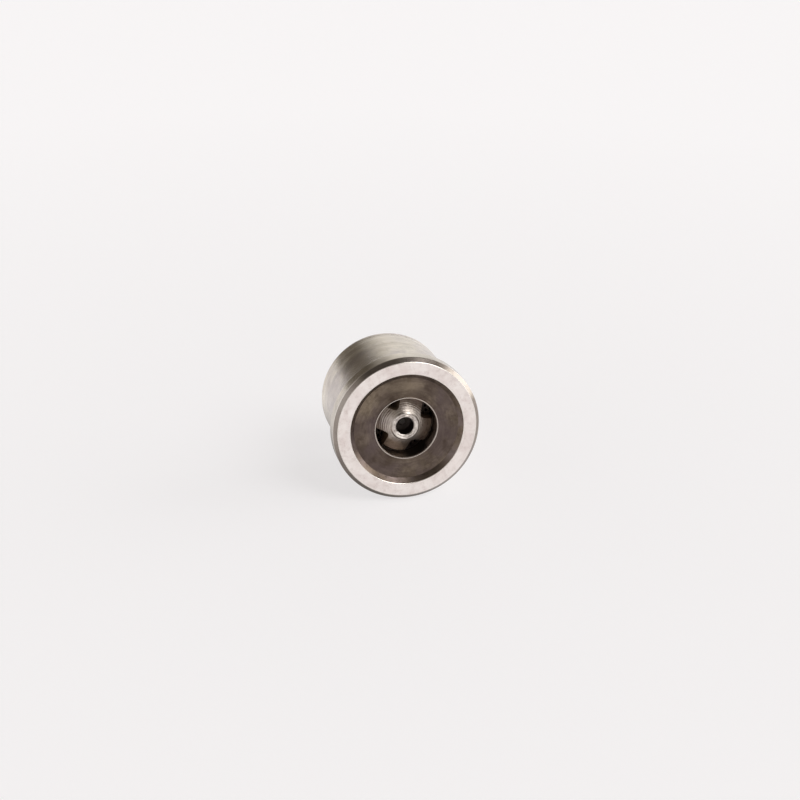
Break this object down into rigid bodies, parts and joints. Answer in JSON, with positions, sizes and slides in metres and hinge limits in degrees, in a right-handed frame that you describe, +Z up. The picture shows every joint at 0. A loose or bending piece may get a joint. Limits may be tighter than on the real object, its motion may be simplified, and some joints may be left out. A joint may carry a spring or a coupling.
{
  "type": "steam trap",
  "caption": "Round in-line steam trap clamped between pipe flanges: flanged barrel, recessed inlet face with a spoked guide hub, bimetal disc stack and a seated valve at the outlet.",
  "frame": {"origin": "on the flow axis, half way between the inlet and outlet faces", "axes": "+Y along the flow from inlet to outlet, +Z up, +X to the right when looking along the flow"},
  "size_m": [0.053, 0.0384, 0.053],
  "materials": {
    "body_steel": "turned stainless steel, used, with heat tint and stains",
    "spider_steel": "turned and milled stainless steel with fine tool rings, heat tinted",
    "inner_steel": "machined stainless steel",
    "hardened_steel": "ground and lapped hardened stainless steel",
    "spring_steel": "drawn spring wire and stamped spring steel",
    "bimetal": "rolled bimetal strip, slightly heat tinted",
    "graphite": "pressed graphite gasket"
  },
  "bodies": {
    "housing": {"inlet_body": "body_steel", "guide_spider": "spider_steel", "guide_bush": "hardened_steel", "spacer_ring": "inner_steel", "strainer_screen": "inner_steel", "strainer_circlip": "spring_steel", "return_spring": "spring_steel", "support_plate": "inner_steel", "valve_seat": "hardened_steel", "seat_gasket": "graphite", "outlet_end_piece": "body_steel", "body_gasket": "graphite"},
    "stem": {"valve_stem": "hardened_steel", "valve_head": "hardened_steel", "lock_nut": "inner_steel", "adjusting_nut": "inner_steel", "thrust_washer": "hardened_steel"},
    "disc_pair_1": {"bimetal_disc_01": "bimetal", "bimetal_disc_02": "bimetal"},
    "disc_pair_2": {"bimetal_disc_03": "bimetal", "bimetal_disc_04": "bimetal"},
    "disc_pair_3": {"bimetal_disc_05": "bimetal", "bimetal_disc_06": "bimetal"},
    "disc_pair_4": {"bimetal_disc_07": "bimetal", "bimetal_disc_08": "bimetal"},
    "disc_pair_5": {"bimetal_disc_09": "bimetal", "bimetal_disc_10": "bimetal"}
  },
  "joints": [
    {"name": "stem_slide", "type": "slide", "parent": "housing", "child": "stem", "axis": [0, -1, 0], "range_m": [0, 0.0014], "stiffness_N_per_m": 400, "springref_m": -0.001, "deforming": ["return_spring"]},
    {"name": "disc_pair_1_shift", "type": "slide", "parent": "housing", "child": "disc_pair_1", "axis": [0, -1, 0], "range_m": [0, 0.000141]},
    {"name": "disc_pair_2_shift", "type": "slide", "parent": "housing", "child": "disc_pair_2", "axis": [0, -1, 0], "range_m": [0, 0.000421]},
    {"name": "disc_pair_3_shift", "type": "slide", "parent": "housing", "child": "disc_pair_3", "axis": [0, -1, 0], "range_m": [0, 0.000701]},
    {"name": "disc_pair_4_shift", "type": "slide", "parent": "housing", "child": "disc_pair_4", "axis": [0, -1, 0], "range_m": [0, 0.000981]},
    {"name": "disc_pair_5_shift", "type": "slide", "parent": "housing", "child": "disc_pair_5", "axis": [0, -1, 0], "range_m": [0, 0.00126]}
  ],
  "couplings": [
    {"joint": "disc_pair_1_shift", "follows": "stem_slide", "ratio": 0.1},
    {"joint": "disc_pair_2_shift", "follows": "stem_slide", "ratio": 0.3},
    {"joint": "disc_pair_3_shift", "follows": "stem_slide", "ratio": 0.5},
    {"joint": "disc_pair_4_shift", "follows": "stem_slide", "ratio": 0.7},
    {"joint": "disc_pair_5_shift", "follows": "stem_slide", "ratio": 0.9}
  ]
}
